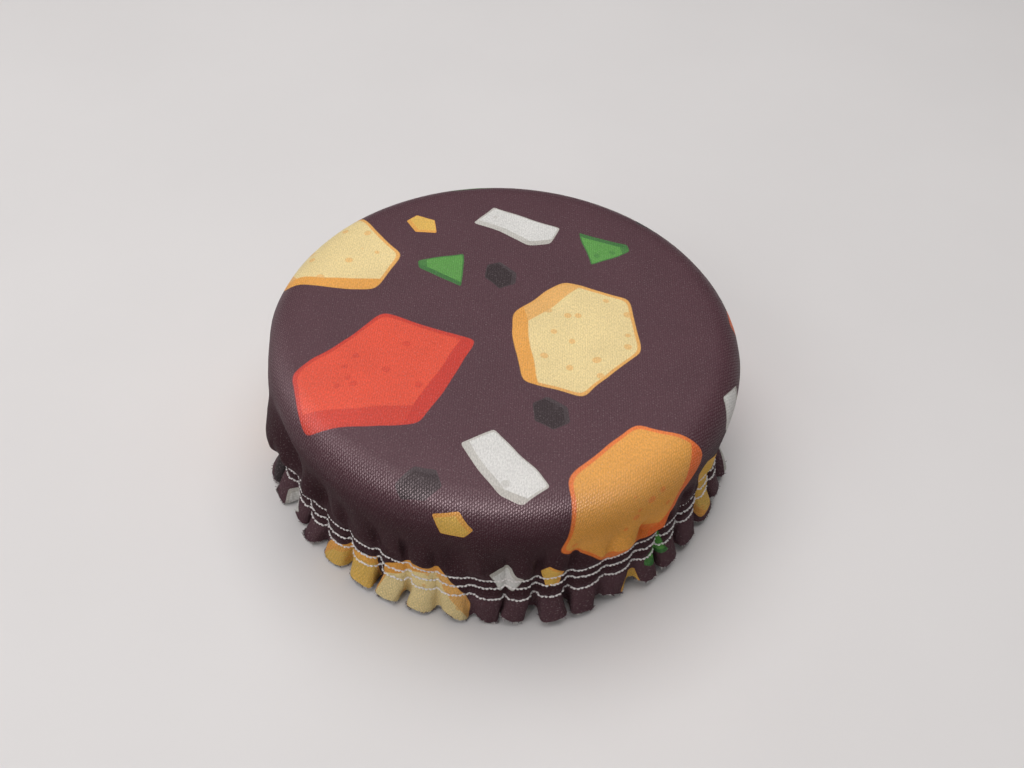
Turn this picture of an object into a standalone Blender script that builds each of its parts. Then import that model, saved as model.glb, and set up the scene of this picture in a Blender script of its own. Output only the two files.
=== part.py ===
"""Elasticated cloth bowl cover, in the form that it takes in use.

A round cloth is drawn flat across its top, turns down in a soft shoulder, and is gathered by
an elastic band that rows of stitches hold inside its skirt. Its cut edge stands out below
the band as a ruffle. The cover stands on the ruffle at z = 0, with the middle of its top
above the origin. Depths are measured down from the top, and directions anticlockwise from +X.
"""

import math
import random
from collections import namedtuple

import bpy

# Top and skirt, in metres
RIM_RADIUS = 0.0750
SHOULDER_RADIUS = 0.0097
SKIRT_DEPTH = 0.0346
CLOTH = 0.0006

# Elastic band, and the rows of stitches that hold it
DRAW_IN = 0.0033
BAND_EDGE = 0.0013
BAND_THICKNESS = 0.0008
ROW_COUNT = 3
ROW_PITCH = 0.0046
THREAD = 0.0006
THREAD_DIP = 0.1
GAP = 0.0003

# Ruffle below the last row of stitches
RUFFLE_DROP = 0.0092
RUFFLE_FLARE = 0.0010

# Gathers: how many, the share of one that its crest and its valley take, and how far they
# stand in and out of the mean surface at the band and at the cut edge
GATHERS = 44
CREST_SHARE = 0.44
VALLEY_SHARE = 0.18
GATHER_START = 0.0130
BAND_WAVE = 0.0010
HEM_WAVE = 0.0026
UNEVEN_WAVE = 0.20
UNEVEN_TURN = 0.10
UNEVEN_HEM = 0.0007
SEED = 44

# The band sits lower on one side than on the other
TILT = 0.0026
TILT_DIRECTION = math.radians(212)

# Pulls that cross the skirt: direction round the cover, half width round the skirt, depth
# below the top, half height, push (out is positive) and sideways lean over that half height
Pull = namedtuple("Pull", "direction width depth height push lean")
PULLS = (
    Pull(-174, 0.0070, 0.0140, 0.0060, -0.0012, 0.0020),
    Pull(-162, 0.0100, 0.0210, 0.0090, 0.0017, 0.0050),
    Pull(-149, 0.0060, 0.0190, 0.0070, -0.0013, 0.0040),
    Pull(-127, 0.0050, 0.0240, 0.0100, -0.0012, 0.0040),
    Pull(-113, 0.0060, 0.0230, 0.0090, 0.0010, 0.0020),
    Pull(-62, 0.0055, 0.0240, 0.0090, -0.0012, -0.0030),
    Pull(-51, 0.0060, 0.0210, 0.0090, 0.0012, -0.0040),
    Pull(-18, 0.0080, 0.0220, 0.0090, -0.0015, -0.0030),
    Pull(60, 0.0090, 0.0220, 0.0090, 0.0010, 0.0030),
    Pull(118, 0.0080, 0.0230, 0.0100, -0.0011, -0.0030),
)

# Corners of one gather, as shares of its width from its middle, and the side they lie on
CORNERS = (
    (-CREST_SHARE / 2, 1.0),
    (CREST_SHARE / 2, 1.0),
    (0.5 - VALLEY_SHARE / 2, -1.0),
    (0.5 + VALLEY_SHARE / 2, -1.0),
)
STEPS = GATHERS * len(CORNERS)
SHOULDER_STEPS = 3
SKIRT_STEPS = 3
BAND_STEPS = GATHERS * 2

BAND_RADIUS = RIM_RADIUS - DRAW_IN
BAND_TOP = SKIRT_DEPTH - BAND_EDGE
BAND_BOTTOM = SKIRT_DEPTH + ROW_PITCH * (ROW_COUNT - 1) + BAND_EDGE
HEM_DEPTH = BAND_BOTTOM + RUFFLE_DROP
PULL_END = (SHOULDER_RADIUS + 2 * BAND_TOP) / 3


def clear_scene():
    """Remove what the file holds, so that only the cover is left."""
    for item in list(bpy.data.objects):
        bpy.data.objects.remove(item, do_unlink=True)


def material(name, color, roughness, sheen=0.0):
    """A Principled material in the colour that the piece has."""
    made = bpy.data.materials.new(name)
    made.use_nodes = True
    shader = made.node_tree.nodes["Principled BSDF"]
    shader.inputs["Base Color"].default_value = (*color, 1.0)
    shader.inputs["Roughness"].default_value = roughness
    shader.inputs["Metallic"].default_value = 0.0
    shader.inputs["Sheen Weight"].default_value = sheen
    made.diffuse_color = (*color, 1.0)
    return made


def smooth(share):
    """Rise from 0 to 1 with level ends."""
    share = min(max(share, 0.0), 1.0)
    return share * share * (3 - 2 * share)


def between(low, high, value):
    """Where a value lies from low (0) to high (1)."""
    return (value - low) / (high - low)


def uneven_gathers():
    """Each gather's own depth, turn and length of edge."""
    draw = random.Random(SEED)
    waves = [1 + UNEVEN_WAVE * draw.uniform(-1, 1) for _ in range(GATHERS)]
    turns = [UNEVEN_TURN * draw.uniform(-1, 1) for _ in range(GATHERS)]
    hems = [UNEVEN_HEM * draw.uniform(-1, 1) for _ in range(GATHERS)]
    return waves, turns, hems


WAVES, TURNS, HEMS = uneven_gathers()


def corner_angle(step):
    """Direction of one corner of the gathers."""
    gather, corner = divmod(step % STEPS, len(CORNERS))
    share = CORNERS[corner][0]
    return (gather + share + TURNS[gather]) * math.tau / GATHERS


def side(step):
    """Side of the mean surface that a corner lies on, with its gather's own depth."""
    gather, corner = divmod(step % STEPS, len(CORNERS))
    return CORNERS[corner][1] * WAVES[gather]


def wave(depth):
    """How far the gathers stand in and out at a depth below the top."""
    if depth <= BAND_BOTTOM:
        return BAND_WAVE * smooth(between(GATHER_START, BAND_TOP, depth))
    return BAND_WAVE + (HEM_WAVE - BAND_WAVE) * between(BAND_BOTTOM, HEM_DEPTH, depth)


def pull(angle, depth):
    """Push of the cloth in or out where a fold crosses the skirt."""
    total = 0.0
    for fold in PULLS:
        rise = (depth - fold.depth) / fold.height
        turn = angle - math.radians(fold.direction)
        turn = (turn + math.pi) % math.tau - math.pi
        across = (turn * RIM_RADIUS - fold.lean * rise) / fold.width
        total += fold.push * math.exp(-across * across - rise * rise)
    below_rim = smooth(between(0.0, SHOULDER_RADIUS, depth))
    above_band = 1 - smooth(between(PULL_END, BAND_TOP, depth))
    return total * below_rim * above_band


def tilt(angle, depth):
    """How much lower the band hangs in a direction."""
    share = smooth(between(SHOULDER_RADIUS, BAND_TOP, depth))
    return TILT * math.cos(angle - TILT_DIRECTION) * share


def mean_radius(depth):
    """Radius of the skirt between its gathers at a depth below the shoulder."""
    if depth <= BAND_BOTTOM:
        return RIM_RADIUS - DRAW_IN * smooth(between(SHOULDER_RADIUS, BAND_TOP, depth))
    return BAND_RADIUS + RUFFLE_FLARE * between(BAND_BOTTOM, HEM_DEPTH, depth)


def profile():
    """Radius and depth of the cloth's outer face, from the middle of the top to the edge."""
    points = [(0.0, 0.0)]
    for step in range(SHOULDER_STEPS + 1):
        turn = math.pi / 2 * step / SHOULDER_STEPS
        radius = RIM_RADIUS - SHOULDER_RADIUS * (1 - math.sin(turn))
        points.append((radius, SHOULDER_RADIUS * (1 - math.cos(turn))))
    skirt = BAND_TOP - SHOULDER_RADIUS
    depths = [SHOULDER_RADIUS + skirt * step / SKIRT_STEPS for step in range(1, SKIRT_STEPS + 1)]
    depths += [BAND_BOTTOM, (BAND_BOTTOM + HEM_DEPTH) / 2, HEM_DEPTH]
    points += [(mean_radius(depth), depth) for depth in depths]
    return points


def turned(name, points, steps, closed=False):
    """Mesh object turned about Z from points of radius and depth, outer side top to bottom."""
    mesh = bpy.data.meshes.new(name)
    count = len(points)
    edges = [(i, i + 1) for i in range(count - 1)]
    if closed:
        edges.append((count - 1, 0))
    mesh.from_pydata([(radius, 0.0, -depth) for radius, depth in points], edges, [])
    made = bpy.data.objects.new(name, mesh)
    bpy.context.scene.collection.objects.link(made)
    screw = made.modifiers.new("turn", "SCREW")
    screw.axis = "Z"
    screw.angle = math.tau
    screw.steps = steps
    screw.render_steps = steps
    screw.use_merge_vertices = True
    screw.merge_threshold = 0.00001
    screw.use_smooth_shade = True
    return apply_modifiers(made)


def apply_modifiers(item):
    """Give an object the mesh that its modifiers make."""
    graph = bpy.context.evaluated_depsgraph_get()
    mesh = bpy.data.meshes.new_from_object(item.evaluated_get(graph))
    item.modifiers.clear()
    old = item.data
    item.data = mesh
    bpy.data.meshes.remove(old)
    mesh.name = item.name
    return item


def gathered(point):
    """Place on the gathered cloth of a point on the turned one."""
    radius = math.hypot(point.x, point.y)
    depth = -point.z
    turn = math.atan2(point.y, point.x) % math.tau
    step = round(turn / math.tau * STEPS)
    angle = corner_angle(step)
    radius += pull(angle, depth) + side(step) * wave(depth)
    edge = smooth(between(BAND_BOTTOM, HEM_DEPTH, depth))
    depth += tilt(angle, depth) + HEMS[(step % STEPS) // len(CORNERS)] * edge
    return radius * math.cos(angle), radius * math.sin(angle), -depth


def add_cover(collection):
    """The cloth, as one skin that is gathered and then given its thickness."""
    cover = turned("cover", profile(), STEPS)
    for vertex in cover.data.vertices:
        if math.hypot(vertex.co.x, vertex.co.y) > CLOTH:
            vertex.co = gathered(vertex.co)
    wall = cover.modifiers.new("cloth", "SOLIDIFY")
    wall.thickness = CLOTH
    wall.offset = -1.0
    wall.use_even_offset = True
    cover.data.materials.append(material("cover", (0.105, 0.062, 0.072), 0.55, 0.3))
    return place(cover, collection)


def band_outer_radius():
    """Radius that clears the inner side of the deepest valley."""
    return BAND_RADIUS - BAND_WAVE * (1 + UNEVEN_WAVE) - CLOTH - GAP


def add_elastic_band(collection):
    """The flat band inside the skirt, level with the rows of stitches and tilted with them."""
    outer = band_outer_radius()
    inner = outer - BAND_THICKNESS
    section = [(outer, BAND_TOP), (outer, BAND_BOTTOM), (inner, BAND_BOTTOM), (inner, BAND_TOP)]
    band = turned("elastic_band", section, BAND_STEPS, closed=True)
    for vertex in band.data.vertices:
        angle = math.atan2(vertex.co.y, vertex.co.x)
        vertex.co.z -= tilt(angle, SKIRT_DEPTH)
    band.data.materials.append(material("elastic", (0.78, 0.76, 0.72), 0.85))
    return place(band, collection)


def add_stitch_row(index, collection):
    """One row of thread, laid over the crests and a little way into the valleys."""
    name = f"stitch_row_{index + 1}"
    depth = SKIRT_DEPTH + ROW_PITCH * index
    curve = bpy.data.curves.new(name, "CURVE")
    curve.dimensions = "3D"
    curve.bevel_depth = THREAD / 2
    curve.bevel_resolution = 0
    spline = curve.splines.new("POLY")
    spline.points.add(STEPS - 1)
    spline.use_cyclic_u = True
    for step, point in enumerate(spline.points):
        angle = corner_angle(step)
        radius = BAND_RADIUS + max(side(step), -THREAD_DIP) * BAND_WAVE + GAP + THREAD / 2
        height = -depth - tilt(angle, depth)
        point.co = (radius * math.cos(angle), radius * math.sin(angle), height, 1.0)
    row = bpy.data.objects.new(name, curve)
    row.data.materials.append(material("thread", (0.80, 0.78, 0.76), 0.7))
    return place(row, collection)


def place(item, collection):
    """Put an object in the cover's collection only."""
    for other in list(item.users_collection):
        other.objects.unlink(item)
    collection.objects.link(item)
    return item


def lowest_point(items):
    """Height of the lowest point of the finished pieces."""
    graph = bpy.context.evaluated_depsgraph_get()
    lowest = 0.0
    for item in items:
        mesh = item.evaluated_get(graph).to_mesh()
        lowest = min(lowest, min(vertex.co.z for vertex in mesh.vertices))
        item.evaluated_get(graph).to_mesh_clear()
    return lowest


def main():
    clear_scene()
    collection = bpy.data.collections.new("bowl_cover")
    bpy.context.scene.collection.children.link(collection)
    pieces = [add_cover(collection), add_elastic_band(collection)]
    pieces += [add_stitch_row(index, collection) for index in range(ROW_COUNT)]
    lift = -lowest_point(pieces)
    for piece in pieces:
        piece.location.z = lift


main()
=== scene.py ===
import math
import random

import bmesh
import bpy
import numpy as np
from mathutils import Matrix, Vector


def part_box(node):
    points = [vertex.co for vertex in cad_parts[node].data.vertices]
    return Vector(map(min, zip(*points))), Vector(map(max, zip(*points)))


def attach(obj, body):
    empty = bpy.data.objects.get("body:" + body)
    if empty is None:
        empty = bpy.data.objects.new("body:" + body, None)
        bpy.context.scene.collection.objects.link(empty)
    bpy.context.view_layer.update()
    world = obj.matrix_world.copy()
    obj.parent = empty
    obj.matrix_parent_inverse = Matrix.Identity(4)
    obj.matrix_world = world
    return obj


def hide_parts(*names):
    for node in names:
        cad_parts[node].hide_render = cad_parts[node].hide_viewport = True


bl_info = {
    "name": "Elasticated bowl cover",
    "version": (1, 0, 0),
    "blender": (4, 5, 0),
    "location": "View3D > Sidebar > Cover",
    "description": "Printed knit bowl cover with a gathered skirt, rows of stitches and a raw ruffle",
    "category": "Object",
}

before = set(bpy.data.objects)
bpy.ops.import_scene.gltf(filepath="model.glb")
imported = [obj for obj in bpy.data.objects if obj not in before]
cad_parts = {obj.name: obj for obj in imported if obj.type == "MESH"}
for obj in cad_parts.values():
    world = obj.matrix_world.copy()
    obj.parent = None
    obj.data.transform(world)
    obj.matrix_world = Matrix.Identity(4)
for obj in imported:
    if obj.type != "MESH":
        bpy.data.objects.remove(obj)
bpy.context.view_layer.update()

COVER_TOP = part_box("cover")[1].z
BAND_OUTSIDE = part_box("elastic_band")[1].x


def paint(red, green, blue):
    """Scene-linear colour of a display colour given in steps of 0 to 255."""
    shares = [step / 255 for step in (red, green, blue)]
    return tuple(s / 12.92 if s <= 0.04045 else ((s + 0.055) / 1.055) ** 2.4 for s in shares)


def length(name, description, default):
    """Property for a length in metres."""
    return bpy.props.FloatProperty(
        name=name, description=description, default=default, unit="LENGTH", precision=5
    )


def share(name, description, default):
    """Property for a plain number or a share of something."""
    return bpy.props.FloatProperty(name=name, description=description, default=default)


def count(name, description, default):
    """Property for a whole number."""
    return bpy.props.IntProperty(name=name, description=description, default=default, min=1)


def degrees(name, description, default):
    """Property for an angle, given in degrees."""
    return bpy.props.FloatProperty(
        name=name, description=description, default=math.radians(default), subtype="ANGLE"
    )


def power(name, description, default):
    """Property for a lamp's power."""
    return bpy.props.FloatProperty(name=name, description=description, default=default, unit="POWER")


def colour(name, description, default):
    """Property for a colour."""
    return bpy.props.FloatVectorProperty(
        name=name, description=description, default=default, subtype="COLOR", min=0.0, max=1.0
    )


class COVER_PG_shape(bpy.types.PropertyGroup):
    """Sizes of the drawn and gathered cloth."""

    rim_radius: length("Rim radius", "Outside of the cloth at the rim", 0.0750)
    shoulder_radius: length("Shoulder", "Radius of the turn over the rim", 0.0097)
    skirt_depth: length("Skirt depth", "From the top to the first row of stitches", 0.0346)
    cloth: length("Cloth", "Thickness of the laminated knit", 0.0005)
    sag: length("Sag", "How far the drawn top dips in its middle", 0.0006)
    draw_in: length("Draw in", "How far the band draws the cloth in from the rim", 0.0033)
    band_edge: length("Band edge", "From an outer row of stitches to the band's edge", 0.0013)
    row_count: count("Rows", "Rows of stitches on the band", 3)
    row_pitch: length("Row pitch", "Between rows of stitches", 0.0046)
    puff: length("Puff", "How far the cloth swells between rows of stitches", 0.00030)
    ruffle_drop: length("Ruffle drop", "Height of the ruffle below the band", 0.0092)
    ruffle_flare: length("Ruffle flare", "How far the ruffle stands out at its edge", 0.0010)
    gathers: count("Gathers", "Gathers all round", 44)
    gather_start: length("Gather start", "Depth at which the gathers begin", 0.0130)
    band_wave: length("Band wave", "Half the depth of a gather at the band", 0.0010)
    hem_wave: length("Hem wave", "Half the depth of a gather at the cut edge", 0.0026)
    uneven_wave: share("Uneven depth", "How much gathers differ in depth", 0.32)
    uneven_turn: share("Uneven spacing", "How much gathers stray from even spacing", 0.19)
    uneven_hem: length("Uneven edge", "How much gathers differ in length", 0.0013)
    seed: count("Seed", "Seed of the unevenness", 44)
    tilt: length("Tilt", "How much lower the band sits on one side", 0.0026)
    tilt_direction: degrees("Tilt direction", "Side on which the band sits lower", 212)


class COVER_PG_print(bpy.types.PropertyGroup):
    """Colours of the printed cloth."""

    ground: colour("Ground", "Aubergine ground where the cloth is drawn tight", paint(79, 51, 58))
    # The second ground colour is painted shade: a darker ground laid on the shoulder and skirt, not on the
    # ruffle.
    painted_skirt_shade: colour("Darkened ground", "Aubergine ground where the cloth hangs slack", paint(63, 42, 46))
    orange: colour("Orange", "Orange pieces", paint(229, 113, 56))
    ember: colour("Ember", "Shaded side of orange pieces", paint(214, 90, 42))
    amber: colour("Amber", "Yellow-orange pieces", paint(226, 160, 76))
    yellow: colour("Yellow", "Yellow pieces", paint(221, 178, 88))
    cream: colour("Cream", "Cream pieces", paint(230, 207, 150))
    red: colour("Red", "Red pieces", paint(222, 80, 54))
    brick: colour("Brick", "Shaded side of red pieces", paint(196, 56, 42))
    white: colour("White", "White pieces", paint(214, 212, 208))
    stone: colour("Stone", "Shaded side of white pieces", paint(184, 180, 172))
    green: colour("Green", "Green pieces", paint(88, 150, 70))
    moss: colour("Moss", "Shaded side of green pieces", paint(58, 112, 56))
    dark: colour("Dark", "Dark pieces", paint(44, 36, 38))
    slate: colour("Slate", "Lit side of dark pieces", paint(64, 56, 58))
    speck: colour("Speck", "Pale loops that the print misses", paint(196, 184, 184))
    back: colour("Back", "Laminated back of the cloth", paint(196, 190, 188))
    seed: count("Seed", "Seed of the scattered pieces", 26)


class COVER_PG_sewing(bpy.types.PropertyGroup):
    """Thread, elastic and frayed edge."""

    thread: colour("Thread", "White sewing thread", paint(238, 232, 230))
    thread_width: length("Thread width", "Thickness of the thread", 0.00068)
    stitch: length("Stitch", "From one stitch to the next", 0.00112)
    elastic: colour("Elastic", "Woven elastic", paint(226, 222, 214))
    elastic_thickness: length("Elastic thickness", "Thickness of the band", 0.0008)
    ribs: count("Ribs", "Lengthwise ribs of the elastic", 9)
    fray: length("Fray", "Longest loose fibre at the cut edge", 0.0010)
    fray_count: count("Frayed fibres", "Loose fibres all round", 2400)


class COVER_PG_stage(bpy.types.PropertyGroup):
    """Floor, light and camera."""

    floor: colour("Floor", "Pale floor", paint(219, 215, 214))
    key: power("Key", "Soft light overhead", 14.2)
    fill: power("Fill", "Soft light from the front and the left", 4.7)
    gloss: power("Gloss", "Light for the gloss alone, from the front", 34.0)
    side_gloss: power("Side gloss", "Light for the gloss alone, from the left", 9.0)
    air: share("Air", "Even light from all round", 0.12)
    lens: share("Lens", "Focal length in millimetres", 38.3)
    camera_place: bpy.props.FloatVectorProperty(
        name="Camera place",
        description="Camera from the middle of the cover's top",
        default=(0.0032, -0.2469, 0.2366),
        subtype="TRANSLATION",
        unit="LENGTH",
    )
    pitch: degrees("Pitch", "How far the camera looks down", 47.04)
    roll: degrees("Roll", "Lean of the camera", 3.58)


# Places round the skirt where the cloth is pulled: direction in degrees, half width, depth
# below the top, half height, push (out is positive), sideways lean
PULLS = (
    (-170, 0.0100, 0.0120, 0.0065, -0.0021, 0.0030),
    (-157, 0.0105, 0.0240, 0.0085, 0.0050, 0.0030),
    (-147, 0.0060, 0.0170, 0.0070, -0.0018, 0.0050),
    (-127, 0.0050, 0.0240, 0.0100, -0.0012, 0.0040),
    (-113, 0.0060, 0.0230, 0.0090, 0.0010, 0.0020),
    (-62, 0.0055, 0.0240, 0.0090, -0.0012, -0.0030),
    (-51, 0.0060, 0.0210, 0.0090, 0.0012, -0.0040),
    (-18, 0.0080, 0.0230, 0.0080, -0.0008, -0.0030),
    (60, 0.0090, 0.0220, 0.0090, 0.0010, 0.0030),
    (118, 0.0080, 0.0230, 0.0100, -0.0011, -0.0030),
)

# Slow unevenness of the skirt, as waves all round, height and phase
SLOW_WAVES = ((5, 0.000275, 1.3), (11, 0.0001925, 0.4), (17, 0.000165, 2.1))

# Soft folds of the slack cloth above the band, as waves all round, height and phase, the depths
# below the top at which they begin and are full, and how far above the band they end
SWELLS = ((17, 0.00050, 0.9), (23, 0.00085, 0.7), (31, 0.00076, 1.9), (38, 0.00058, 0.2))
SWELL_START = 0.0125
SWELL_FULL = 0.0260
SWELL_FADE = 0.0045
SWELL_END = 0.0005

# Pleats just above the band, unlike from gather to gather: most depth, and height above the band
PLEAT_WAVE = 0.0014
PLEAT_HEIGHT = 0.0062

# Even swelling of the cloth just above the band: how far out, and how high above the first row
PUFF_ABOVE = 0.0005
PUFF_HEIGHT = 0.006

# How much further down the latest gather begins, the share of the band's gathers that its first
# row holds, and how much deeper they are at the back
LATE_START = 0.0055
FIRST_ROW_SHARE = 0.55
DEEPER_BEHIND = 0.25

# How far the corners of the ruffle's tabs curl up or down, how ragged the cut edge is, and the
# least height of the cloth above the floor
CURL = 0.0018
RAGGED = 0.00075
LIFT = 0.0006

# Places where the ruffle stands out further: direction and half width in degrees, push at the
# last row of stitches and at the cut edge
KICKS = (
    (-164, 5, 0.0000, 0.0022),
    (-160, 20, 0.0006, 0.0011),
    (-97, 4, 0.0000, 0.0007),
    (-22, 4, 0.0000, 0.0008),
    (-15, 11, 0.0010, 0.0014),
    (-7, 4, 0.0000, 0.0022),
    (48, 16, 0.0004, 0.0012),
    (112, 11, 0.0002, 0.0010),
)

# Rings of the cloth's mesh on its top, shoulder, skirt, band and ruffle, and points a gather
TOP_RINGS = 4
SHOULDER_RINGS = 8
SKIRT_RINGS = 16
BAND_RINGS = 15
RUFFLE_RINGS = 12
POINTS_A_GATHER = 18

# Smallest angle, in degrees, at which an edge of the cloth shows as an edge
SHARP_ANGLE = 62

# Waves of a row of stitches up and down, as waves all round and height, and how far each row sits
# from even spacing
WANDER = (
    (3, 0.00020),
    (7, 0.00018),
    (19, 0.00014),
    (43, 0.00012),
    (88, 0.00010),
    (149, 0.00010),
    (227, 0.00008),
)
ROW_SHIFTS = (-0.0001, 0.0003, -0.0001)

# How far each row drifts in three slow waves all round, and the direction in which it is highest
ROW_DRIFTS = ((0.0002, 0.4), (0.0008, -1.45), (0.0003, 2.0))

# Distances on the flat cloth from its middle at which the creases near the band begin and are full
PUCKER_START = 0.0955
PUCKER_FULL = 0.1030

# Distances on the flat cloth from its middle at which its ground begins to darken and is darkest, as painted
# shade on the shoulder and skirt
SKIRT_SHADE_START = 0.0740
SKIRT_SHADE_FULL = 0.0900

# Distances on the flat cloth from its middle at which its ruffle begins and hangs free
RUFFLE_START = 0.1120
RUFFLE_FULL = 0.1170

# How much closer together the points of a gather lie in its valley
CLOSER = 0.55

# Width and height of one loop of the knit
LOOP_WIDTH = 0.00070
LOOP_HEIGHT = 0.00115

# Distances on the flat cloth from its middle between which the loops of the knit begin to show,
# show less again, and lose their gloss; where they show, their gaps carry painted shade
LOOPS_SHOW = (0.062, 0.074)
LOOPS_FADE = (0.081, 0.091)
GLOSS_FADES = (0.0725, 0.0815)

# Width of the square of flat cloth that the UV map covers
UV_SPAN = 0.280

# Share of a printed piece's reach that others keep clear of, the gap beyond it, and the tries to
# find a place
PRINT_ROOM = 0.92
PRINT_GAP = 0.002
PRINT_TRIES = 600

# Length of a stitch against the room it has, and how far it leans to each side, and at random
STITCH_OVERLAP = 1.16
STITCH_LEAN = 0.34
STITCH_STRAY = 0.3

# Height of the elastic's ribs on each side as a share of its thickness, and its steps all round
RIB = 0.14
BAND_STEPS = 176

# Soft lights: name, size, place, and whether it lights more than the gloss
LAMPS = (
    ("key", (1.2, 1.2), (-0.10, 0.15, 1.20), True),
    ("fill", (0.9, 0.7), (-0.75, -0.80, 0.85), True),
    ("gloss", (1.4, 0.25), (0.0, -0.77, 0.92), False),
    ("side_gloss", (0.35, 0.9), (-0.95, 0.20, 0.72), False),
)


def smooth(value):
    """Rise from 0 to 1 with level ends, for numbers and arrays."""
    value = np.clip(value, 0.0, 1.0)
    return value * value * (3 - 2 * value)


def between(low, high, value):
    """Where a value lies from low (0) to high (1)."""
    return (value - low) / (high - low)


def waves_round(angle, waves):
    """Sum of waves all round, each with its number, height and phase."""
    return sum(height * np.sin(number * angle + phase) for number, height, phase in waves)


class DrapedCloth:
    """The gathered surface, as a function of a place on the flat cloth."""

    def __init__(self, shape):
        self.shape = shape
        self.top = COVER_TOP
        self.band_radius = shape.rim_radius - shape.draw_in
        self.band_top = shape.skirt_depth - shape.band_edge
        self.last_row = shape.skirt_depth + shape.row_pitch * (shape.row_count - 1)
        self.band_bottom = self.last_row + shape.band_edge
        self.hem = self.band_bottom + shape.ruffle_drop
        self.pull_end = (shape.shoulder_radius + 2 * self.band_top) / 3
        draw = random.Random(shape.seed)
        self.waves = self.each(draw, 1.0, shape.uneven_wave)
        self.turns = self.each(draw, 0.0, shape.uneven_turn)
        self.hems = self.each(draw, 0.0, shape.uneven_hem)
        self.starts = self.each(draw, 0.0, 1.0)
        self.leans = self.each(draw, 0.0, 0.20)
        self.flares = self.each(draw, 1.0, 0.34)
        self.flats = self.each(draw, 0.66, 0.20)
        self.curls = self.each(draw, 0.0, 1.0)
        self.crests = self.each(draw, 0.79, 0.10)
        self.dips = self.each(draw, 1.0, 0.35)
        self.pleats = self.each(draw, 0.5, 0.5)

    def each(self, draw, middle, spread):
        """One uneven value for each gather."""
        return np.array([middle + spread * draw.uniform(-1, 1) for _ in range(self.shape.gathers)])

    def blend(self, values, gather):
        """Values of single gathers, passing smoothly from one gather to the next."""
        low = np.floor(gather).astype(int)
        part = smooth(gather - low)
        number = len(values)
        return values[low % number] * (1 - part) + values[(low + 1) % number] * part

    def mean_radius(self, depth):
        """Radius of the skirt between its gathers."""
        shape = self.shape
        if depth <= self.band_bottom:
            drawn = smooth(between(shape.shoulder_radius, self.band_top, depth))
            return shape.rim_radius - shape.draw_in * drawn
        return self.band_radius + shape.ruffle_flare * between(self.band_bottom, self.hem, depth)

    def stations(self):
        """Flat distance, radius and depth of each ring of the mesh."""
        shape = self.shape
        edge = shape.rim_radius - shape.shoulder_radius
        rings = [(edge * (ring / TOP_RINGS) ** 0.8, 0.0) for ring in range(TOP_RINGS + 1)]
        for ring in range(1, SHOULDER_RINGS + 1):
            turn = math.pi / 2 * ring / SHOULDER_RINGS
            radius = edge + shape.shoulder_radius * math.sin(turn)
            rings.append((radius, shape.shoulder_radius * (1 - math.cos(turn))))
        for low, high, steps in (
            (shape.shoulder_radius, self.band_top, SKIRT_RINGS),
            (self.band_top, self.band_bottom, BAND_RINGS),
            (self.band_bottom, self.hem, RUFFLE_RINGS),
        ):
            for ring in range(1, steps + 1):
                depth = low + (high - low) * ring / steps
                rings.append((self.mean_radius(depth), depth))
        flat = [0.0]
        for (r0, d0), (r1, d1) in zip(rings, rings[1:]):
            flat.append(flat[-1] + math.hypot(r1 - r0, d1 - d0))
        return [(along, radius, depth) for along, (radius, depth) in zip(flat, rings)]

    def pull(self, angle, depth):
        """Push of the cloth in or out where a fold crosses the skirt."""
        total = np.zeros_like(angle)
        for direction, width, middle, height, push, lean in PULLS:
            rise = (depth - middle) / height
            turn = (angle - math.radians(direction) + math.pi) % math.tau - math.pi
            across = (turn * self.shape.rim_radius - lean * rise) / width
            total += push * np.exp(-across * across - rise * rise)
        below_rim = smooth(between(0.0, self.shape.shoulder_radius, depth))
        above_band = 1 - smooth(between(self.pull_end, self.band_top, depth))
        return total * below_rim * above_band

    def kick(self, angle, depth):
        """How far the band's lower edge and the ruffle stand out at the places of KICKS."""
        at_row = smooth(between(self.shape.skirt_depth, self.last_row, depth))
        at_hem = smooth(between(self.last_row, self.hem, depth))
        total = np.zeros_like(angle)
        for direction, width, row_push, hem_push in KICKS:
            turn = (angle - math.radians(direction) + math.pi) % math.tau - math.pi
            near = np.exp(-((turn / math.radians(width)) ** 2))
            total += near * (row_push * at_row + (hem_push - row_push) * at_hem)
        return total

    def arcs(self, gather):
        """A fully drawn gather of a round crest and a round valley.

        Returns its shift along the hem, in gathers, and its height: 1 on the crest, -1 in the valley.
        """
        crest = self.blend(self.crests, gather + 0.5)
        local = gather - np.round(gather)
        away = np.abs(local)
        on_crest = away <= crest / 2
        over = math.pi * away / crest
        under = math.pi * (0.5 - away) / (1 - crest)
        flat = self.blend(self.flats, gather + 0.5)
        front = np.abs(np.sin(over)) ** flat
        side = np.maximum(np.cos(over), 0.0) ** flat
        reach = np.where(on_crest, crest / 2 * front, 0.5 - (1 - crest) / 2 * np.sin(under))
        height = np.where(on_crest, crest / 2 * side, -(1 - crest) / 2 * np.cos(under))
        return np.sign(local) * (reach - away), 4 * height - (2 * crest - 1)

    def wave(self, gather, depth):
        """How far the gathers stand in and out at a depth below the top."""
        shape = self.shape
        valley = (1 - np.cos(math.tau * gather)) / 2
        depths = self.blend(self.waves, gather) * (1 + (self.blend(self.dips, gather + 0.5) - 1) * valley)
        start = shape.gather_start + LATE_START * self.blend(self.starts, gather)
        grown = smooth(between(start, self.band_top, depth)) ** 1.25
        behind = smooth((1 + np.sin(gather * math.tau / shape.gathers)) / 0.8)
        band = shape.band_wave * (1 + DEEPER_BEHIND * behind)
        if depth <= self.band_bottom:
            at_last = smooth(between(shape.skirt_depth, self.last_row, depth))
            eased = FIRST_ROW_SHARE + (1 - FIRST_ROW_SHARE) * at_last
            return band * eased * grown * depths + self.pleat(gather, depth)
        edge = between(self.band_bottom, self.hem, depth) ** 0.7
        flare = self.blend(self.flares, gather)
        return (band + (shape.hem_wave * flare - band) * edge) * depths

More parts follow.
